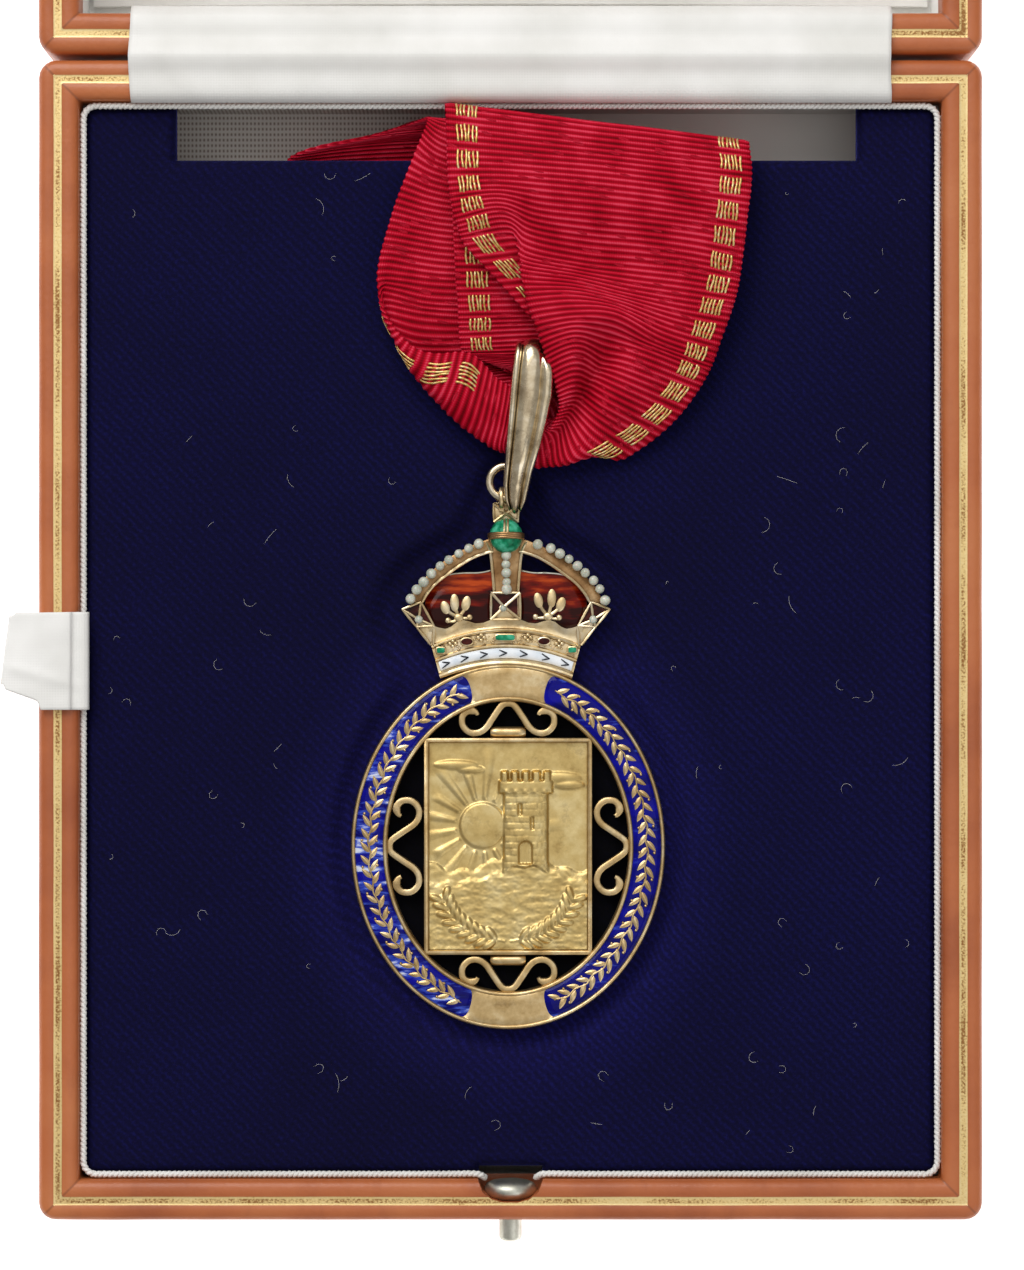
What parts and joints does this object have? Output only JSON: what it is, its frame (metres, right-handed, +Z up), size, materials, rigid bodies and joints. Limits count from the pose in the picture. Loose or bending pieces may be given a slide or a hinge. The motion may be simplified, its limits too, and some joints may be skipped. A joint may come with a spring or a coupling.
{
  "type": "order neck badge in hinged presentation case",
  "caption": "Crowned oval enamel neck badge with a framed plaque, on a striped-edge neck ribbon, in an open leather presentation case with a velvet pad.",
  "frame": {"origin": "centre of the underside of the case's base, which rests on the surface", "axes": "+Z up; +Y from the clasp side to the hinge and on to the open lid; +X to the right of someone facing the badge from the clasp side"},
  "size_m": [0.1225, 0.2933, 0.0238],
  "materials": {
    "leather": "semi-gloss, gold-tooled line",
    "velvet": "velvet",
    "satin": "satin",
    "clasp_metal": "tarnished",
    "gilt": "worn gilding",
    "blue_enamel": "gloss",
    "red_enamel": "gloss",
    "green_enamel": "gloss",
    "white_enamel": "gloss",
    "pearl": "satin gloss",
    "grosgrain": "ribbed weave with gold-thread edge stripes"
  },
  "bodies": {
    "case": {"case_base": "leather", "clasp": "clasp_metal", "pad": "velvet", "pad_piping": "satin", "lift_tab": "satin", "hinge_barrel_left": "clasp_metal", "hinge_barrel_right": "clasp_metal", "hinge_flap": "satin", "oval_frame": "gilt", "plaque_relief": "gilt", "enamel_right": "blue_enamel", "enamel_left": "blue_enamel", "crown": "gilt", "cap_left": "red_enamel", "cap_right": "red_enamel", "ermine": "white_enamel", "pearls_left": "pearl", "pearls_right": "pearl", "pearls_centre": "pearl", "orb": "green_enamel", "band_stone_1": "green_enamel", "band_stone_2": "red_enamel", "band_stone_3": "green_enamel", "band_stone_4": "red_enamel", "band_stone_5": "green_enamel", "jump_ring": "gilt", "bail": "gilt", "ribbon": "grosgrain"},
    "lid": {"lid_shell": "leather", "lid_lining": "satin"}
  },
  "joints": [
    {"name": "lid_hinge", "type": "hinge", "parent": "case", "child": "lid", "pos_m": [0, 0.07287, 0.0183], "axis": [1, 0, 0], "range_deg": [0, 180], "deforming": ["hinge_flap", "lift_tab"]}
  ]
}
